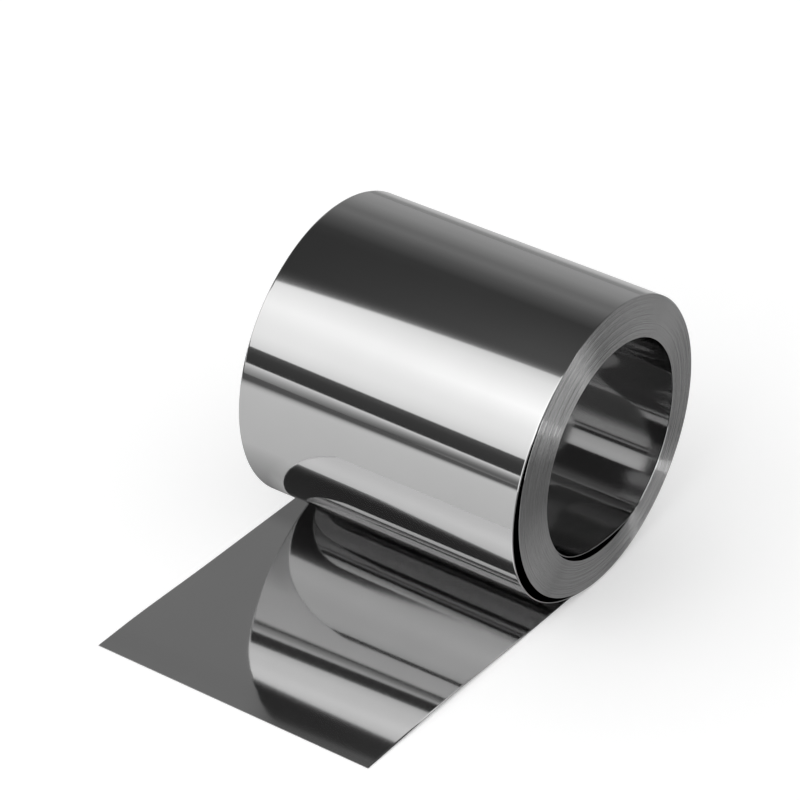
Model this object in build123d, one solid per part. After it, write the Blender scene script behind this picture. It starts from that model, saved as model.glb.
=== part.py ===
from build123d import *

import os
from itertools import pairwise
from math import cos, pi, radians, sin

os.makedirs("parts", exist_ok=True)

# Driving dimensions in millimetres and degrees.
# The coil's axis lies along X, the floor is below it and the free end runs out along -Y.
# Angles in the cross-section are counted from +Y over the top.
strip_width = 100.0
strip_thickness = 0.3
bore_radius = 35.8
wound_radius = 48.65

# The free end runs out a little askew, and the back of the outermost turn leans towards it.
tail_length = 116.3
turn_lean = 1.7
tail_drift = 5.3

# The outermost turn has sprung off the wound turns, wider and further back at the far end.
near_gap, near_start, near_end = 3.45, 118.0, 256.0
far_gap, far_start, far_end = 4.15, 19.0, 262.0
gap_skew = 1.15
gap_fullness = 1.5

# The turns have crept sideways in groups, so the inner ones stand proud at the near end.
creep = 1.1
group_steps = [0.0, 0.15, -0.1, 0.12, -0.14, 0.1, 0.0]

# The strip's inner end leaves a step along the bore.
inner_end_angle = -62.0
inner_end_sweep = 50.0
inner_end_blend = 0.05

# Small sizes where the strip lies against itself.
seat = 0.05
seam_gap = 0.12
seam_depth = 2.5
least_gap = 0.25

bottom = -90.0
top = 90.0
point_step = 5.0
piece_sweep = 20.0
margin = 3.0
half_width = strip_width / 2
reach = half_width + margin


def polar(radius, angle):
    """A point of the cross-section."""
    return (radius * cos(radians(angle)), radius * sin(radians(angle)))


def wound(angle):
    """Radius outside the wound turns: a spiral that drops by almost one thickness a turn."""
    turned = (angle - bottom) / 360.0
    return wound_radius + (strip_thickness - seat) * (1.0 - turned)


def spring(angle, size, start, end):
    """Gap of the loose turn at one end of the coil."""
    part = (angle - start) / (end - start)
    if part <= 0.0 or part >= 1.0:
        return 0.0
    return size * sin(pi * part**gap_skew) ** gap_fullness


def gap(angle, x):
    """Gap inside the loose turn, changing evenly along the coil."""
    share = x / strip_width + 0.5
    near = spring(angle, near_gap, near_start, near_end)
    far = spring(angle, far_gap, far_start, far_end)
    return near * share + far * (1.0 - share)


def middle_of_seam(angle):
    """Middle of the fine seam between the outermost turn and the next one."""
    return wound(angle) + seam_gap / 2


def outside_of_seam(angle):
    """Outer side of that seam, which is the inner face of the outermost turn."""
    return wound(angle) + seam_gap


def circle_of(radius):
    """The same radius at every angle."""
    return lambda angle: radius


def bore_at(angle):
    """Bore radius past the strip's inner end, where the next turn takes over."""
    part = (angle - inner_end_angle) / inner_end_sweep
    return bore_radius + strip_thickness + (inner_end_blend - strip_thickness) * part


def spread(first, last, spacing):
    """Evenly spaced angles from first to last, about as far apart as the spacing."""
    count = max(1, round((last - first) / spacing))
    return [first + (last - first) * i / count for i in range(count + 1)]


def heading(radius_at, angle):
    """Direction of a curve of the cross-section at an angle."""
    before = Vector(polar(radius_at(angle - 0.5), angle - 0.5))
    after = Vector(polar(radius_at(angle + 0.5), angle + 0.5))
    return after - before


def curve(radius_at, first, last):
    """A curve of the cross-section through radius_at(angle), in pieces that meet smoothly."""
    pieces = []
    for start, end in pairwise(spread(first, last, piece_sweep)):
        points = [polar(radius_at(angle), angle) for angle in spread(start, end, point_step)]
        tangents = [heading(radius_at, start), heading(radius_at, end)]
        pieces.append(Spline(points, tangents=tangents))
    return pieces


def outline(inner, outer):
    """A face between two curves that run the same way."""
    first = Line(inner[0] @ 0, outer[0] @ 0)
    last = Line(inner[-1] @ 1, outer[-1] @ 1)
    return make_face(inner + [last] + outer + [first])


def band(inner_at, outer_at, first, last):
    """A face between two curves, from one angle to another."""
    return outline(curve(inner_at, first, last), curve(outer_at, first, last))


def wall(face, low, high):
    """A face of the cross-section, drawn in Y and Z, extruded along X from low to high."""
    return Pos(low, 0, 0) * extrude(Plane.YZ * face, amount=high - low, dir=(1, 0, 0))


def tapered(face_at):
    """A solid whose cross-section changes evenly from the far end to the near end."""
    ends = [Pos(x, 0, 0) * (Plane.YZ * face_at(x)) for x in (-reach, reach)]
    return loft(ends, ruled=True)


def filled_section(x):
    """The coil filled in, out to the outer face of the outermost turn."""
    outer = curve(lambda angle: wound(angle) + gap(angle, x) + strip_thickness, bottom, bottom + 360.0)
    return make_face(outer + [Line(outer[-1] @ 1, outer[0] @ 0)])


def crescent_section(x):
    """The space inside the loose turn, from the middle of the wound turns outwards."""
    middle = (bore_radius + wound_radius) / 2
    loose_inside = lambda angle: wound(angle) + max(gap(angle, x), seam_gap)
    return band(circle_of(middle), loose_inside, open_from, open_to)


def crescent():
    """The opening inside the loose turn, no finer than the seam where the turns touch."""
    turns = band(circle_of(bore_radius), wound, open_from - piece_sweep, open_to + piece_sweep)
    return tapered(crescent_section) - wall(turns, -reach - margin, reach + margin)


def angle_with_gap(start, step):
    """The first angle from start, going by step, where the loose turn stands clear at the far end."""
    angle = start
    while gap(angle, -half_width) < least_gap:
        angle += step
    return angle


def lean(z):
    """How far the leaning turn is shifted along X at a height."""
    return -turn_lean * (1.0 - z / wound_radius) / 2


def past_leaning_end(end, outwards):
    """The space past an end of the leaning turn, behind the coil's axis."""
    height = wound_radius + margin
    slope = [(end + lean(z), z) for z in (height, -height)]
    outer_side = [(end + outwards, z) for z in (-height, height)]
    face = Plane.XZ * make_face(Polyline(slope + outer_side, close=True))
    return extrude(face, amount=height, dir=(0, 1, 0))


def tail():
    """The free end, flat on the floor and a little askew."""
    start, end = -turn_lean, -turn_lean - tail_drift
    corners = [(start - half_width, 0), (start + half_width, 0)]
    corners += [(end + half_width, -tail_length), (end - half_width, -tail_length)]
    face = make_face(Polyline(corners, close=True))
    return Pos(0, 0, -wound(bottom) - strip_thickness) * extrude(face, amount=strip_thickness)


def end_offsets():
    """How far each group of turns has crept along X, with its inner and outer radius."""
    outer = wound_radius - strip_thickness
    count = len(group_steps)
    pitch = (outer - bore_radius) / count
    for i, step in enumerate(group_steps):
        offset = creep * (1.0 - i / (count - 1)) + step
        yield bore_radius + i * pitch, bore_radius + (i + 1) * pitch, offset


def stepped_ring(base, end):
    """Turns that stand along X from base to the crept end, turned about the X axis."""
    points = [(base, bore_radius)]
    for inner, outer, offset in end_offsets():
        points.append((end + offset, inner))
        points.append((end + offset, outer))
    points.append((base, points[-1][1]))
    return revolve(make_face(Polyline(points, close=True)), Axis.X)


def square_ends(coil):
    """Trims the coil to the strip's width, with the back of the outermost turn leaning."""
    back = band(middle_of_seam, circle_of(wound_radius + margin), bottom, top)
    height = 2 * (wound_radius + 2 * margin)
    block = Box(margin, height, height)
    coil -= Pos(half_width + margin / 2, 0, 0) * block
    coil -= Pos(-half_width - margin / 2, 0, 0) * block - wall(back, -reach, -half_width)
    coil -= past_leaning_end(half_width, margin) & wall(back, half_width - margin, reach)
    coil -= past_leaning_end(-half_width, -margin)
    return coil


def make_strip():
    """The whole strip as one solid."""
    body = square_ends(tapered(filled_section)) + tail()
    body -= Rot(0, 90, 0) * Cylinder(bore_radius, 2 * reach)
    body += stepped_ring(half_width - margin, half_width)
    body -= stepped_ring(-half_width - margin, -half_width)
    body -= crescent()
    for first, last in ((bottom + 4.0, open_from + 1.0), (open_to - 1.0, far_end + 6.0)):
        seam = band(wound, outside_of_seam, first, last)
        body -= wall(seam, half_width - seam_depth, reach)
        body -= wall(seam, -reach, -half_width + seam_depth)
    inner_end_stop = inner_end_angle + inner_end_sweep
    inner_end = band(circle_of(bore_radius - margin), bore_at, inner_end_angle, inner_end_stop)
    body -= wall(inner_end, -reach, reach)
    return body


open_from = angle_with_gap(far_start, 1.0)
open_to = angle_with_gap(far_end, -1.0)
strip = make_strip()
strip.label = "strip_coil"
export_step(strip, "parts/strip_coil.step")
box = strip.bounding_box()
print("strip_coil", len(strip.solids()), "solid, volume", round(strip.volume), "mm3")
print("box", box.min, box.max)
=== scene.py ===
# %% [markdown]
# # A narrow coil of polished stainless steel strip
# The object is one long piece of stainless steel, 0.3 mm thick, wound into a coil of 44 turns. Its
# free end lies flat on the floor. Mirror-bright steel has almost no colour of its own, so this lesson
# is about three things: the exact shape of the sheet, the finish of its faces and cut edges, and the
# studio that the steel reflects.

# %% Load the frame
import math
import random

import bpy
from mathutils import Matrix, Vector


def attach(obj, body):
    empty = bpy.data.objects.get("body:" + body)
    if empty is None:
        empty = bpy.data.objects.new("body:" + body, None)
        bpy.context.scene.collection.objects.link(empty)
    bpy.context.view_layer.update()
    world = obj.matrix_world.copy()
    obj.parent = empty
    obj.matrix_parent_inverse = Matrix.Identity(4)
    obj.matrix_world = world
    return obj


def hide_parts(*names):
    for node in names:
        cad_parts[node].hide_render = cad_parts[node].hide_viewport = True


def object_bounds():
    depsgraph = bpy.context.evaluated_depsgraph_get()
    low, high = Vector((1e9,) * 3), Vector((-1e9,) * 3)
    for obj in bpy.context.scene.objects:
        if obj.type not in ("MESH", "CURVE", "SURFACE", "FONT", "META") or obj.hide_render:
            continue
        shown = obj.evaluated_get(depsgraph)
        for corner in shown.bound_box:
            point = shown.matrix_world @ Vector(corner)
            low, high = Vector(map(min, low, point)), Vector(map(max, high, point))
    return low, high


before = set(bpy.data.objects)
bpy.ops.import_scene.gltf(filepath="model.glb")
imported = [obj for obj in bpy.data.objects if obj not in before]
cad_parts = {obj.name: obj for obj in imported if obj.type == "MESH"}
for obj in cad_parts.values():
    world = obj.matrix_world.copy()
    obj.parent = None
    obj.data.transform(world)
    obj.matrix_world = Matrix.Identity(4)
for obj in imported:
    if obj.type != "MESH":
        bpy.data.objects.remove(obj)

cad_low, cad_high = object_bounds()
print("CAD box", cad_low[:], cad_high[:])

# %% [markdown]
# ## Numbers of the real strip
# All lengths are in millimetres here and are turned to metres in one place. The winding is described
# by one angle that starts where the free end leaves the floor and grows inwards, turn after turn.
# A spiral is drawn with a pitch equal to the strip's thickness, and the metal a little thinner than
# that, because a real coil shows a hair-fine dark line between its turns.

# %% Sizes in millimetres and angles in degrees
MM = 0.001
WIDTH = 100.0
METAL = 0.27
PITCH = 0.3
FIRST_RADIUS = 48.92
TAIL_LENGTH = 116.2
END_ANGLE = 15868.0
BOTTOM = -90.0
print("turns", round(END_ANGLE / 360, 2))
print("bore radius", round(FIRST_RADIUS - PITCH * END_ANGLE / 360, 2), "mm")

# %% [markdown]
# ## Where the strip isn't a plain spiral
# The outermost turn has sprung away from the coil on the side of the free end. Its gap is wider and
# reaches further back at the far end, so this turn is a little conical. The innermost end has lifted
# off the bore, and the inner turns have slumped a little, back and down. The free end runs out askew,
# with a low ripple near its tip that bends what it mirrors, and the back of the outermost turn leans
# towards it. The inner turns have crept the other way, so they stand about a millimetre proud at the
# near end. Simple curves describe all of this. A spring is given by its gap and the angles where it
# starts and ends, and a ripple by its height, the place of its crest and the length of its rise.

# %% Shape of the loose turn and the lifted end
NEAR_SPRING = (3.45, 118.0, 256.0)
FAR_SPRING = (4.15, 19.0, 262.0)
GAP_SKEW, GAP_FULLNESS = 1.15, 1.5
LIFT_SWEEP, LIFT_HEIGHT = 86.0, 2.6
LIFT_SKEW, LIFT_FULLNESS = 1.27, 1.3

def smooth(low, high, value):
    """0 below low, 1 above high, and a smooth step between."""
    part = min(1.0, max(0.0, (value - low) / (high - low)))
    return part * part * (3.0 - 2.0 * part)

def spring(angle, size, start, end):
    """Gap inside the loose turn at one end of the coil."""
    part = min(1.0, max(0.0, (angle - start) / (end - start)))
    return size * max(0.0, math.sin(math.pi * part ** GAP_SKEW)) ** GAP_FULLNESS

def gap(angle, across):
    """Gap inside the loose turn, changing evenly from the far end to the near end."""
    near_share = across / WIDTH + 0.5
    near, far = spring(angle, *NEAR_SPRING), spring(angle, *FAR_SPRING)
    return near * near_share + far * (1.0 - near_share)

def lift(winding):
    """How far the innermost end has lifted off the bore."""
    part = (winding - (END_ANGLE - LIFT_SWEEP)) / LIFT_SWEEP
    if part <= 0.0 or part >= 1.0:
        return 0.0
    return LIFT_HEIGHT * math.sin(math.pi * part ** LIFT_SKEW) ** LIFT_FULLNESS

print("gap at the near end", round(gap(190, 50), 2), "at the far end", round(gap(150, -50), 2))
print("lift of the inner end", round(lift(END_ANGLE - 36), 2))

# %% Ripple of the free end and slump of the inner turns
FAR_RIPPLE = (0.45, 98.0, 34.0)
NEAR_RIPPLE = (0.9, 76.0, 44.0)
RIPPLE_GROWS_OVER = 45.0
RIPPLE_ENDS = TAIL_LENGTH + 4.0
SLUMP = 0.6

def ripple(along, across):
    """How far the free end stands off the floor, which grows towards its near edge."""
    share = smooth(0.0, RIPPLE_GROWS_OVER, across)
    size, crest, rise = [a + (b - a) * share for a, b in zip(FAR_RIPPLE, NEAR_RIPPLE)]
    fall = 1.0 - smooth(crest, RIPPLE_ENDS, along)
    return size * smooth(crest - rise, crest, along) * fall

def sag(winding):
    """How far the inner turns have slumped, back and down alike."""
    return SLUMP * winding / END_ANGLE

print("highest ripple", round(max(ripple(along, WIDTH / 2) for along in range(116)), 2), "mm")

# %% Sideways creep of the turns
TURN_LEAN = 1.69
TAIL_DRIFT = 5.3
CREEP = 0.98
CREEP_FROM = 400.0
MOST_PROUD = 1.08
WANDER, WANDER_SHIFT = 0.07, 0.02
WANDER_FROM, WANDER_FULL = 250.0, 900.0
STEPS_A_TURN = 1.7
wander = random.Random(11)
wander_steps = [wander.uniform(-WANDER, WANDER) for _ in range(120)]

def sideways(winding):
    """How far the strip has moved along the coil's axis."""
    if winding < 0.0:
        return -TURN_LEAN + TAIL_DRIFT * winding / TAIL_LENGTH
    leaning = -TURN_LEAN * (1.0 + math.cos(math.radians(winding))) / 2 if winding < 180.0 else 0.0
    place = winding / 360.0 * STEPS_A_TURN
    step = int(place)
    mixed = smooth(0.0, 1.0, place - step)
    noise = wander_steps[step] * (1.0 - mixed) + wander_steps[step + 1] * mixed
    settled = smooth(WANDER_FROM, WANDER_FULL, winding)
    crept = CREEP * max(0.0, winding - CREEP_FROM) / (END_ANGLE - CREEP_FROM)
    return min(MOST_PROUD, leaning + max(0.0, crept + settled * (noise + WANDER_SHIFT)))

print("sideways at the nip", round(sideways(0), 2), "inside", round(sideways(END_ANGLE), 2))

# %% A point of the strip
def inner_face(winding, across):
    """A point of the strip's inner face and its outward direction, in the coil's cross-section."""
    if winding < 0.0:
        return winding, -FIRST_RADIUS + ripple(-winding, across), 0.0, -1.0
    angle = BOTTOM + winding % 360.0
    radius = FIRST_RADIUS - PITCH * winding / 360.0 - lift(winding)
    if winding < 360.0:
        radius += gap(angle, across)
    turn, slump = math.radians(angle), sag(max(0.0, winding - 360.0))
    return (radius * math.cos(turn) + slump, radius * math.sin(turn) - slump,
            math.cos(turn), math.sin(turn))

print("lowest point", -(FIRST_RADIUS + METAL), "mm")

# %% [markdown]
# ## The section of the strip
# Strip is cut from a wide sheet by round knives, which roll the corners over on the side they enter,
# here the outer face, and leave them sharper on the other. The section is a thin rectangle with a
# chamfer at each corner and one extra line of points near each edge. The extra line keeps the broad
# faces truly flat when the mesh is shaded smooth, and lets only the narrow border bend its light, as
# the rolled-over corner of the real strip does.

# %% Points of the section: across the strip, through the metal, and the surface they start
BORDER = 0.55
SHARP, ROLLED = 0.045, 0.12
half = WIDTH / 2
POLISHED, CUT = 0, 1
section = [
    (-half + BORDER, METAL, POLISHED), (half - BORDER, METAL, POLISHED), (half - ROLLED, METAL, CUT),
    (half, METAL - ROLLED, CUT), (half, SHARP, CUT), (half - SHARP, 0.0, POLISHED),
    (half - BORDER, 0.0, POLISHED), (-half + BORDER, 0.0, POLISHED), (-half + SHARP, 0.0, CUT),
    (-half, SHARP, CUT), (-half, METAL - ROLLED, CUT), (-half + ROLLED, METAL, POLISHED),
]
print("points in the section", len(section))

# %% [markdown]
# ## Where the section is placed
# The visible outermost and innermost turns get a section every degree or so, because a mirror shows
# every flat. The turns between them only show their edges, so a section every three degrees is
# enough. The angles are the same in every turn, which keeps the flats nested, so no turn cuts
# through its neighbour. A bevelled curve or the Screw modifier could wind a plain spiral. The points
# are worked out one by one instead, because every turn has its own gap, lift and creep.

# %% Stations along the strip
OUTER_TURN, INNER_TURN = 384.0, 372.0
OUTER_STEP, INNER_STEP, HIDDEN_STEP = 1.0, 1.5, 3.0
TAIL_STEPS = 24
TIP_STEP = 0.4
stations = [-TAIL_LENGTH, -TAIL_LENGTH + TIP_STEP]
stations += [-TAIL_LENGTH + TAIL_LENGTH * i / TAIL_STEPS for i in range(1, TAIL_STEPS)]
winding = 0.0
while winding < END_ANGLE:
    stations.append(winding)
    inside = winding > END_ANGLE - INNER_TURN
    winding += OUTER_STEP if winding < OUTER_TURN else INNER_STEP if inside else HIDDEN_STEP
stations.append(END_ANGLE)
print("sections along the strip", len(stations))

# %% Points and faces of the strip
def strip_points():
    """Every point of the strip, with its length along the strip for the finish to follow."""
    points, lengths = [], []
    length, last = 0.0, None
    for winding in stations:
        y, z, _, _ = inner_face(winding, 0.0)
        length += math.dist((y, z), last) if last else 0.0
        last = (y, z)
        shift = sideways(winding)
        for across, through, _ in section:
            y, z, out_y, out_z = inner_face(winding, across)
            points.append(Vector((across + shift, y + out_y * through, z + out_z * through)) * MM)
            lengths.append(length)
    return points, lengths

def strip_faces():
    """Quads between neighbouring sections and a cap on each end, each with its surface."""
    count = len(section)
    faces = [(tuple(reversed(range(count))), CUT)]
    for i in range(len(stations) - 1):
        for j, (_, _, surface) in enumerate(section):
            k = (j + 1) % count
            here, there = i * count, (i + 1) * count
            faces.append(((here + j, here + k, there + k, there + j), surface))
    last = (len(stations) - 1) * count
    faces.append((tuple(range(last, last + count)), CUT))
    return faces

points, lengths = strip_points()
faces = strip_faces()
print("points", len(points), "faces", len(faces))

# %% The strip's mesh, with its surfaces and its map along the strip
mesh = bpy.data.meshes.new("strip_coil_wound")
mesh.from_pydata(points, [], [corners for corners, _ in faces])
for polygon, (_, surface) in zip(mesh.polygons, faces):
    polygon.material_index = surface
    polygon.use_smooth = len(polygon.vertices) == 4
caps = [polygon for polygon in mesh.polygons if len(polygon.vertices) > 4]
cap_edges = {key for polygon in caps for key in polygon.edge_keys}
for edge in mesh.edges:
    edge.use_edge_sharp = edge.key in cap_edges
layer = mesh.uv_layers.new(name="along_strip")
for loop in mesh.loops:
    across = section[loop.vertex_index % len(section)][0]
    layer.data[loop.index].uv = (lengths[loop.vertex_index] * MM, across * MM)
mesh.validate()
strip = bpy.data.objects.new("strip_coil_wound", mesh)
bpy.context.scene.collection.objects.link(strip)
print("triangles", sum(len(polygon.vertices) - 2 for polygon in mesh.polygons))
print("strip length", round(lengths[-1]), "mm")

# %% [markdown]
# ## Colours and nodes
# Colours are written as the sRGB hex values that a screen shows, and one function turns them into
# the linear values that the renderer counts with. One more function adds a node with its settings
# and its links, so each material below reads as a short recipe.

# %% Helpers for materials
def linear(code):
    """An sRGB hex colour as linear red, green, blue and alpha."""
    parts = [int(code[i:i + 2], 16) / 255 for i in (1, 3, 5)]
    return [p / 12.92 if p <= 0.04045 else ((p + 0.055) / 1.055) ** 2.4 for p in parts] + [1.0]

def add_node(tree, kind, settings=None, **inputs):
    """Adds a node. Settings are its properties; inputs are values or sockets to link."""
    node = tree.nodes.new(kind)
    for name, value in (settings or {}).items():
        setattr(node, name, value)
    for name, value in inputs.items():
        numbered = name[0] == "_" and name[1:].isdigit()
        socket = node.inputs[int(name[1:])] if numbered else node.inputs[name.replace("_", " ")]
        if isinstance(value, bpy.types.NodeSocket):
            tree.links.new(value, socket)
        else:
            socket.default_value = value
    return node

def new_material(name):
    """An empty node material and its tree."""
    material = bpy.data.materials.new(name)
    material.use_nodes = True
    material.node_tree.nodes.clear()
    return material, material.node_tree

def grey_stops(elements, stops):
    """Sets the two ends of a colour ramp from (position, hex colour) stops."""
    for element, (position, code) in zip(elements, stops):
        element.position = position
        element.color = linear(code)

print("mid grey", round(linear("#808080")[0], 3))

# %% [markdown]
# ## Polished stainless steel
# The faces are cold-rolled and bright-annealed: the rolls leave a near mirror with very fine lines
# along the strip. Steel reflects a little over half of the light and has no colour to speak of.
# The lines are drawn as small changes in roughness and an almost flat bump. An image of scratches
# could do this too, but noise laid out on the strip's own map follows the winding without a seam.
# Real rolling lines are some hundredths of a millimetre apart; they are drawn 0.3 mm apart here,
# which is as coarse as a picture of this size needs to show them. Wider, very faint clouds change the
# tint. Each pattern is given by its size in millimetres, along and across the strip.

# %% Rolling lines and faint clouds on the broad faces
FLAT_NOISE = {"noise_dimensions": "2D"}

def pattern_scale(along, across):
    """Scale of a pattern from its size along and across the strip, in millimetres."""
    return (1.0 / (along * MM), 1.0 / (across * MM), 1.0)

ROLLING_LINES = pattern_scale(83.333, 0.30303)
CLOUDS = pattern_scale(35.714, 22.222)
steel, tree = new_material("polished_stainless_steel")
place = add_node(tree, "ShaderNodeUVMap", {"uv_map": "along_strip"})
stretched = add_node(tree, "ShaderNodeMapping", Vector=place.outputs["UV"], Scale=ROLLING_LINES)
lines = add_node(tree, "ShaderNodeTexNoise", FLAT_NOISE, Vector=stretched.outputs["Vector"],
                 Scale=1.0, Detail=3.0, Roughness=0.6)
soft = add_node(tree, "ShaderNodeMapping", Vector=place.outputs["UV"], Scale=CLOUDS)
clouds = add_node(tree, "ShaderNodeTexNoise", FLAT_NOISE, Vector=soft.outputs["Vector"],
                  Scale=1.0, Detail=2.0, Roughness=0.5)
rough = add_node(tree, "ShaderNodeMapRange", Value=lines.outputs["Fac"], From_Min=0.3, From_Max=0.7,
                 To_Min=0.04, To_Max=0.06)
tint = add_node(tree, "ShaderNodeValToRGB", Fac=clouds.outputs["Fac"])
grey_stops(tint.color_ramp.elements, [(0.3, "#cacaca"), (0.7, "#cccccc")])
print("rolling lines in a metre", round(ROLLING_LINES[1]))

# %% [markdown]
# In the nip, where the free end runs in under the coil, the steel's colour is made a little darker:
# this is painted shade, for the darker reflections in the nip. It could be painted on the mesh, but
# the map already gives the distance from the tip of the strip, so two soft steps in that distance, in
# metres, are enough to place it.

# %% Painted shade in the nip, and the whole finish of the broad faces
NIP_SHADE_BEGINS = (0.078, 0.086)
NIP_SHADE_ENDS = (0.112, 0.125)
EASED = {"interpolation_type": "SMOOTHSTEP"}
from_tip = add_node(tree, "ShaderNodeSeparateXYZ", Vector=place.outputs["UV"]).outputs["X"]
begins = add_node(tree, "ShaderNodeMapRange", EASED, Value=from_tip, From_Min=NIP_SHADE_BEGINS[0],
                  From_Max=NIP_SHADE_BEGINS[1])
ends = add_node(tree, "ShaderNodeMapRange", EASED, Value=from_tip, From_Min=NIP_SHADE_ENDS[1],
                From_Max=NIP_SHADE_ENDS[0])
painted_nip_shade = add_node(tree, "ShaderNodeMath", {"operation": "MULTIPLY"}, _0=begins.outputs["Result"],
                _1=ends.outputs["Result"])
# Painted shade: inside the nip the tint is multiplied by a light grey.
nip_shade_tint = add_node(tree, "ShaderNodeMixRGB", {"blend_type": "MULTIPLY"}, Fac=painted_nip_shade.outputs[0],
                 Color1=tint.outputs["Color"], Color2=linear("#e6e6e6"))
bump = add_node(tree, "ShaderNodeBump", Height=lines.outputs["Fac"], Strength=0.02, Distance=0.00002)
shader = add_node(tree, "ShaderNodeBsdfPrincipled", Base_Color=nip_shade_tint.outputs["Color"], Metallic=1.0,
                  Roughness=rough.outputs["Result"], Normal=bump.outputs["Normal"])
add_node(tree, "ShaderNodeOutputMaterial", Surface=shader.outputs["BSDF"])
mesh.materials.append(steel)
print("nodes in the steel", len(tree.nodes))

# %% [markdown]
# ## Slit edges
# The knives cut half of the thickness and tear the rest, so the edges are duller than the faces.
# Seen together, the edges of 44 turns make the grey ring at the end of the coil. The torn grain is
# far finer than a pixel. It is drawn as streaks some 6 mm long that differ from turn to turn, so that
# the turns can be told apart. A tint for each turn could do that too, but real turns also vary along
# their length.

# %% Finish of the cut edges
TORN_GRAIN = pattern_scale(6.25, 0.11111)
slit, tree = new_material("slit_stainless_edge")
place = add_node(tree, "ShaderNodeUVMap", {"uv_map": "along_strip"})
torn = add_node(tree, "ShaderNodeMapping", Vector=place.outputs["UV"], Scale=TORN_GRAIN)
grain = add_node(tree, "ShaderNodeTexNoise", FLAT_NOISE, Vector=torn.outputs["Vector"],
                 Scale=1.0, Detail=3.0, Roughness=0.6)
tint = add_node(tree, "ShaderNodeValToRGB", Fac=grain.outputs["Fac"])
grey_stops(tint.color_ramp.elements, [(0.3, "#b2b2b2"), (0.7, "#c2c2c2")])
rough = add_node(tree, "ShaderNodeMapRange", Value=grain.outputs["Fac"], From_Min=0.3, From_Max=0.7,
                 To_Min=0.16, To_Max=0.24)
shader = add_node(tree, "ShaderNodeBsdfPrincipled", Base_Color=tint.outputs["Color"], Metallic=1.0,
                  Roughness=rough.outputs["Result"])
add_node(tree, "ShaderNodeOutputMaterial", Surface=shader.outputs["BSDF"])
mesh.materials.append(slit)
print("materials", [material.name for material in mesh.materials])

# %% What the strip stands for in the part
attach(strip, "root")
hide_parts("strip_coil")
print("strip_coil is replaced by", strip.name)

# %% [markdown]
# ## The camera
# The camera looks down at the near end from the front right with a long lens, about 1.1 m away.
# Its place is given by two angles round the coil and its distance, and it slides sideways a little
# so that the coil sits right of the middle of the picture. A shifted lens could do that too, but a
# plain lens is easier to match to a photo.

# %% Place the camera
CAMERA_AZIMUTH = math.radians(-55.16)
CAMERA_ELEVATION = math.radians(34.71)
CAMERA_DISTANCE = 1132.0
CAMERA_SLIDE = (21.86, 1.79)
FOCAL_PIXELS = 3661.0
PICTURE_PIXELS = 800
SENSOR = 36.0

back = Vector((math.cos(CAMERA_ELEVATION) * math.cos(CAMERA_AZIMUTH),
               math.cos(CAMERA_ELEVATION) * math.sin(CAMERA_AZIMUTH), math.sin(CAMERA_ELEVATION)))
right = Vector((-math.sin(CAMERA_AZIMUTH), math.cos(CAMERA_AZIMUTH), 0.0))
up = back.cross(right)
spot = (back * CAMERA_DISTANCE - right * CAMERA_SLIDE[0] - up * CAMERA_SLIDE[1]) * MM
lens = bpy.data.cameras.new("camera")
lens.sensor_width = SENSOR
lens.lens = FOCAL_PIXELS / PICTURE_PIXELS * SENSOR
lens.clip_end = 50.0
camera = bpy.data.objects.new("camera", lens)
camera.matrix_world = Matrix((right, up, back)).transposed().to_4x4()
camera.matrix_world.translation = spot
bpy.context.scene.collection.objects.link(camera)
bpy.context.scene.camera = camera
print("camera at", [round(v, 3) for v in spot], "lens", round(lens.lens, 1))

# %% [markdown]
# ## White room and pale floor
# The object stands on a white floor in a white room. The world lights everything evenly, and the
# camera, the mirror steel and any glass see it as plain white. The floor is a white diffuse sheet
# that gains a little light of its own for those same rays, so it reaches white without more light
# on the object, and it still takes the coil's soft shadow. More light could whiten it as well, but
# would wash out the shadow and the steel.

# %% World
LARGER = {"operation": "MAXIMUM"}

def seen_white(tree):
    """1 for camera, glossy and transmission rays, else 0."""
    path = add_node(tree, "ShaderNodeLightPath")
    either = add_node(tree, "ShaderNodeMath", LARGER, _0=path.outputs["Is Camera Ray"],
                      _1=path.outputs["Is Glossy Ray"])
    return add_node(tree, "ShaderNodeMath", LARGER, _0=either.outputs[0],
                    _1=path.outputs["Is Transmission Ray"]).outputs[0]

world = bpy.data.worlds.new("white_room")
bpy.context.scene.world = world
world.use_nodes = True
tree = world.node_tree
tree.nodes.clear()
strength = add_node(tree, "ShaderNodeMapRange", Value=seen_white(tree), To_Min=0.72, To_Max=1.0)
sky = add_node(tree, "ShaderNodeBackground", Color=linear("#ffffff"),
               Strength=strength.outputs["Result"])
add_node(tree, "ShaderNodeOutputWorld", Surface=sky.outputs["Background"])
print("nodes in the world", len(tree.nodes))

# %% Floor
FLOOR = cad_low.z
FLOOR_RADIUS = 1.9
FLOOR_CORNERS = 96
floor_mesh = bpy.data.meshes.new("floor")
turns = [math.tau * i / FLOOR_CORNERS for i in range(FLOOR_CORNERS)]
rim = [(FLOOR_RADIUS * math.cos(turn), FLOOR_RADIUS * math.sin(turn), FLOOR) for turn in turns]
floor_mesh.from_pydata(rim, [], [tuple(range(FLOOR_CORNERS))])
floor = bpy.data.objects.new("floor", floor_mesh)
bpy.context.scene.collection.objects.link(floor)
white, tree = new_material("white_floor_sheet")
extra = add_node(tree, "ShaderNodeMapRange", Value=seen_white(tree), To_Min=0.0, To_Max=0.27)
matt = add_node(tree, "ShaderNodeBsdfDiffuse", Color=linear("#f2f2f2"))
glow = add_node(tree, "ShaderNodeEmission", Color=linear("#ffffff"), Strength=extra.outputs["Result"])
both = add_node(tree, "ShaderNodeAddShader", _0=matt.outputs["BSDF"], _1=glow.outputs["Emission"])
add_node(tree, "ShaderNodeOutputMaterial", Surface=both.outputs["Shader"])
floor_mesh.materials.append(white)
print("floor at", round(FLOOR, 5))

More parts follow.
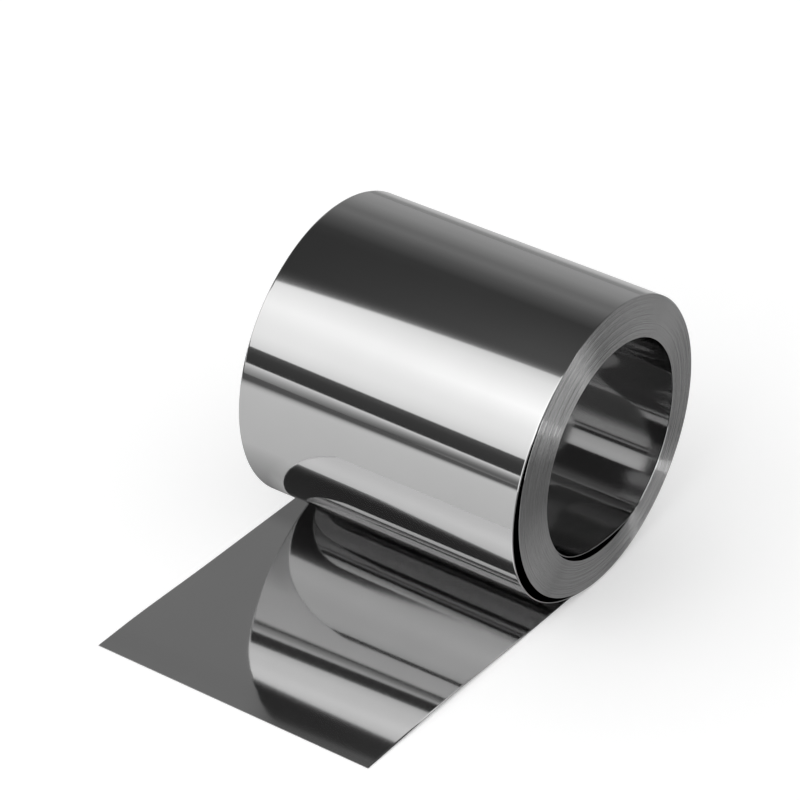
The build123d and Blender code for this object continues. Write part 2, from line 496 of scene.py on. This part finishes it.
# %% [markdown]
# ## Cards for the mirror
# A photographer shapes polished metal with what it reflects: a large softbox, dark cards that draw
# the black bands, a grey wall behind and a grey board on the floor. They are seen only in
# reflections, and of them only the softbox also lights the scene. Area lamps could take their place,
# but a lamp is evenly bright. A card is a sheet of points that each have a brightness, so it can fade
# from one edge to another. The curved cards stand round the coil at one distance, and their edges are
# given by the angle at which the coil sees them, counted from the horizon behind the coil, over the
# top, to the horizon in front.

# %% Two card materials that read their brightness from the mesh
glowing, tree = new_material("glowing_card")
tone = add_node(tree, "ShaderNodeAttribute", {"attribute_name": "tone"})
light = add_node(tree, "ShaderNodeEmission", Color=tone.outputs["Color"])
add_node(tree, "ShaderNodeOutputMaterial", Surface=light.outputs["Emission"])
matt_board, tree = new_material("matt_grey_board")
tone = add_node(tree, "ShaderNodeAttribute", {"attribute_name": "tone"})
matt = add_node(tree, "ShaderNodeBsdfDiffuse", Color=tone.outputs["Color"])
add_node(tree, "ShaderNodeOutputMaterial", Surface=matt.outputs["BSDF"])
print("card materials", glowing.name, matt_board.name)

# %% A card from rows of points
def sheet(name, rows, material, lights=False):
    """A card from rows of (x, y, z, brightness), for reflections and, if it lights, matt surfaces."""
    width = len(rows[0])
    card_mesh = bpy.data.meshes.new(name)
    quads = [(r * width + c, r * width + c + 1, (r + 1) * width + c + 1, (r + 1) * width + c)
             for r in range(len(rows) - 1) for c in range(width - 1)]
    card_mesh.from_pydata([point[:3] for row in rows for point in row], [], quads)
    tones = card_mesh.color_attributes.new("tone", "FLOAT_COLOR", "POINT")
    for item, point in zip(tones.data, [point for row in rows for point in row]):
        item.color = (point[3], point[3], point[3], 1.0)
    card_mesh.materials.append(material)
    card = bpy.data.objects.new(name, card_mesh)
    bpy.context.scene.collection.objects.link(card)
    card.visible_camera = False
    card.visible_shadow = False
    card.visible_diffuse = lights
    print(name, "has", len(quads), "faces")

# %% Curved cards round the coil
CARD_RANGE = 2.0
CARD_STEPS = 4
LOWEST_BEHIND, LOWEST_IN_FRONT = -8, 188
FAR_RIGHT = 3.0
COLUMNS = [-3.0, -1.14, -1.10, -1.06, -1.02, -0.985, -0.955, -0.925, -0.9, -0.875, -0.85, -0.82,
           -0.79, -0.75, -0.62, -0.5, 0.5]

def between(stops, value):
    """Reads a list of (place, value) stops, straight between them and level past the ends."""
    if value <= stops[0][0]:
        return stops[0][1]
    for (a, low), (b, high) in zip(stops, stops[1:]):
        if value <= b:
            return low + (high - low) * (value - a) / (b - a)
    return stops[-1][1]

def curved_card(name, stops_at, places=COLUMNS, lights=False):
    """A card whose column at x follows stops_at(x), a list of (angle, brightness)."""
    columns = []
    for x in places:
        column, stops = [], stops_at(x)
        for (a, low), (b, high) in zip(stops, stops[1:]):
            column += [(a + (b - a) * i / CARD_STEPS, low + (high - low) * i / CARD_STEPS)
                       for i in range(CARD_STEPS)]
        column.append(stops[-1])
        turned = [(math.radians(angle), shade) for angle, shade in column]
        columns.append([(x, CARD_RANGE * math.cos(turn), CARD_RANGE * math.sin(turn), shade)
                        for turn, shade in turned])
    sheet(name, columns, glowing, lights)

print("columns", len(COLUMNS))

# %% [markdown]
# The wall behind is mid grey at the horizon and fades to a dark ceiling. The softbox hangs over the
# front and its top edge slants, so the white band on the coil grows wider to the right. A little of
# its light spills on the ceiling beside that edge.

# %% Wall, ceiling and softbox
WALL_TOP = (62, 0.06)
SOFTBOX_BOTTOM = 161.8
SOFT_EDGE = 0.7
SPILL_STEPS = (-10, -7, -5, -3.5, -2.3, -1.3, -0.6, 0)
SEEN_FROM, SEEN_WIDTH = -1.04, 0.27
BORDER_SEES = (-0.7, -0.5)

def softbox_top(x):
    """Angle of the softbox's top edge, which slants and bends a little."""
    part = min(1.4, max(0.0, (-0.749 - x) / 0.256))
    return 104.2 + 4.7 * part + 4.4 * part * part

def right_share(x):
    """0 at the left of what the broad faces show of the studio, 1 at the right."""
    return min(1.0, max(0.0, (x - SEEN_FROM) / SEEN_WIDTH))

def wall_at(x):
    """The wall behind, which stays grey a little higher up on the far left."""
    left = 1.0 - smooth(-1.14, -1.1, x)
    return [(LOWEST_BEHIND, 0.40), (6, 0.395), (18, 0.35), (33, 0.212 + 0.023 * left),
            (40, 0.222 + 0.018 * left), (50, 0.13 + 0.1 * left), WALL_TOP]

def ceiling_at(x):
    """The dark ceiling, with the softbox's spill dying away from its top edge."""
    share, edge = right_share(x), softbox_top(x)
    far = 0.042 + 0.058 * share
    spill = [(edge + d, far + 0.34 * math.exp(d * (1.0 + 0.7 * share) / 2.4)) for d in SPILL_STEPS]
    return [WALL_TOP, (70, 0.05 + 0.02 * share)] + spill

def softbox_at(x):
    """The softbox's fabric, brightest across its middle."""
    share, edge = right_share(x), softbox_top(x)
    cloth_and_painted_shadow = [(104, 0.92), (110, 1.18), (130, 1.46 + 0.16 * share), (142, 1.33),
             (153, 1.29 - 0.07 * share), (SOFTBOX_BOTTOM, 1.06 - 0.08 * share)]
    angles = [edge + SOFT_EDGE + (SOFTBOX_BOTTOM - SOFT_EDGE - edge) * i / 9 for i in range(10)]
    side = 1.0 + 0.3 * smooth(*BORDER_SEES, x)
    lit = [(angle, side * between(cloth_and_painted_shadow, angle)) for angle in angles]
    return [(edge, 0.82 * between(cloth_and_painted_shadow, edge))] + lit

curved_card("grey_wall_behind", wall_at, COLUMNS + [FAR_RIGHT])
curved_card("dark_ceiling", ceiling_at)
curved_card("softbox", softbox_at, lights=True)
print("softbox top", [round(softbox_top(x), 1) for x in (-1.0, -0.9, -0.8)])

# %% [markdown]
# Below the softbox hangs a black card, which draws the dark line along the coil. Under it the wall in
# front shows as a pale band that fades downwards. Further right only the rolled border of the strip
# looks, and there all of this is pale, so that the border shines. Beyond that hang two narrow strip
# lights, for the short highlights across the ring of edges.

# %% Black card, front wall and strip lights
BLACK_BOTTOM = 173.6
BLACK = [(SOFTBOX_BOTTOM, 0.2), (162.6, 0.11), (166, 0.065), (BLACK_BOTTOM, 0.05)]
PALE_TOP = 174.3
BORDER_LIGHT = 1.2

def side_lit(x, stops):
    """Past what the broad faces show, everything in front is pale, for the border to catch."""
    share = smooth(*BORDER_SEES, x)
    return [(angle, shade + (BORDER_LIGHT - shade) * share) for angle, shade in stops]

def front_at(x):
    """The pale wall fades down to a dark ledge, which is deeper on the left."""
    leftwards = max(0.0, -0.893 - x)
    fade, ledge = 3.0 + 18.4 * leftwards, 179.4 + 17.0 * leftwards
    angles = [PALE_TOP + (ledge - PALE_TOP) * i / 5 for i in range(6)]
    below = 0.11 + 0.14 * smooth(-0.94, -0.89, x)
    pale = [(angle, 0.9 * math.exp((PALE_TOP - angle) / fade)) for angle in angles]
    ledge_stops = [(ledge + 0.6, 0.11 + 0.4 * (below - 0.11)), (ledge + 1.6, below),
                   (LOWEST_IN_FRONT, below)]
    return side_lit(x, [(BLACK_BOTTOM, 0.9)] + pale + ledge_stops)

SIDE = [WALL_TOP, (80.5, 0.08), (81.5, 1.1), (90.5, 1.1), (91.5, 0.1), (138, 0.1), (139, 2.0),
        (148, 2.0), (149, 0.1), (LOWEST_IN_FRONT, 0.1)]
curved_card("black_card_in_front", lambda x: side_lit(x, BLACK))
curved_card("pale_wall_in_front", front_at)
curved_card("dark_side_with_strip_lights", lambda x: SIDE, [COLUMNS[-1], FAR_RIGHT])
print("ledge at", [round(front_at(x)[-3][0], 1) for x in (-1.1, -1.0, -0.9)])

# %% [markdown]
# A matt board lies on the floor, so that the steel mirrors a grey floor while the picture keeps its
# white one. It is lit like the floor, so the coil's own shading still shows on it. It darkens to the
# left, far behind the coil. Beside the far end it carries a dark patch of painted shadow, which the
# bore shows. Beside the near end it is grey in front and paler behind, which shades the ring of edges.

# %% Board on the floor
BOARD_X = [-3.0, -1.0, -0.5, -0.385, -0.35, -0.31, -0.27, -0.23, -0.2, -0.15, -0.1, -0.07, -0.06,
           -0.04, -0.02, 0.0, 0.03, 0.045, 0.055, 0.065, 0.075, 0.085, 0.1, 0.115, 0.13, 0.2, 0.5, 3.0]
BOARD_Y = [-2.1, -0.6, -0.3, -0.2, -0.13, -0.1, -0.075, -0.05, -0.02, 0.0, 0.025, 0.05, 0.065, 0.08,
           0.1, 0.12, 0.14, 0.17, 0.24, 0.33, 0.42, 0.51, 0.6, 1.0, 2.1]
BEHIND_COIL = 0.12
BESIDE_COIL = 0.052
LIFT_OFF = 0.0001

def board_tone(x, y):
    """How pale the board is at a place."""
    pale = 0.12 + 0.72 * smooth(-0.385, -0.2, x)
    behind = 0.4 + 0.3 * (1.0 - smooth(0.24, 0.6, y))
    # Painted shadow: a dark patch on the board beside the far end of the coil.
    cloth_and_painted_shadow = 0.75 * smooth(-0.075, -0.02, y) * (1.0 - smooth(0.1, 0.17, y)) * smooth(0.035, 0.06, -x)
    away = y - 0.02 - 1.15 * (x - 0.057)
    close = 1.0 - smooth(0.066, 0.082, x)
    share = close + (1.0 - close) * (0.7 + 0.85 * smooth(-0.02, 0.04, away))
    beside = share * (0.31 + 0.32 * (1.0 - smooth(0.055, 0.13, x)))
    tone = (pale if y < BEHIND_COIL else behind) * (1.0 - cloth_and_painted_shadow)
    return min(tone, beside) if x > BESIDE_COIL else tone

board_rows = [[(x, y, FLOOR + LIFT_OFF, board_tone(x, y)) for x in BOARD_X] for y in BOARD_Y]
sheet("floor_board", board_rows, matt_board)
print("board at", round(FLOOR + LIFT_OFF, 5))

# %% [markdown]
# ## Light paths
# Light that gets between the loose turn and the free end, or into the bore, is mirrored many times
# before it comes out, so glossy light is allowed more bounces than usual.

# %% Bounces and colour management
scene = bpy.context.scene
scene.cycles.max_bounces = 16
scene.cycles.glossy_bounces = 12
scene.view_settings.view_transform = "Standard"
print("view transform", scene.view_settings.view_transform)
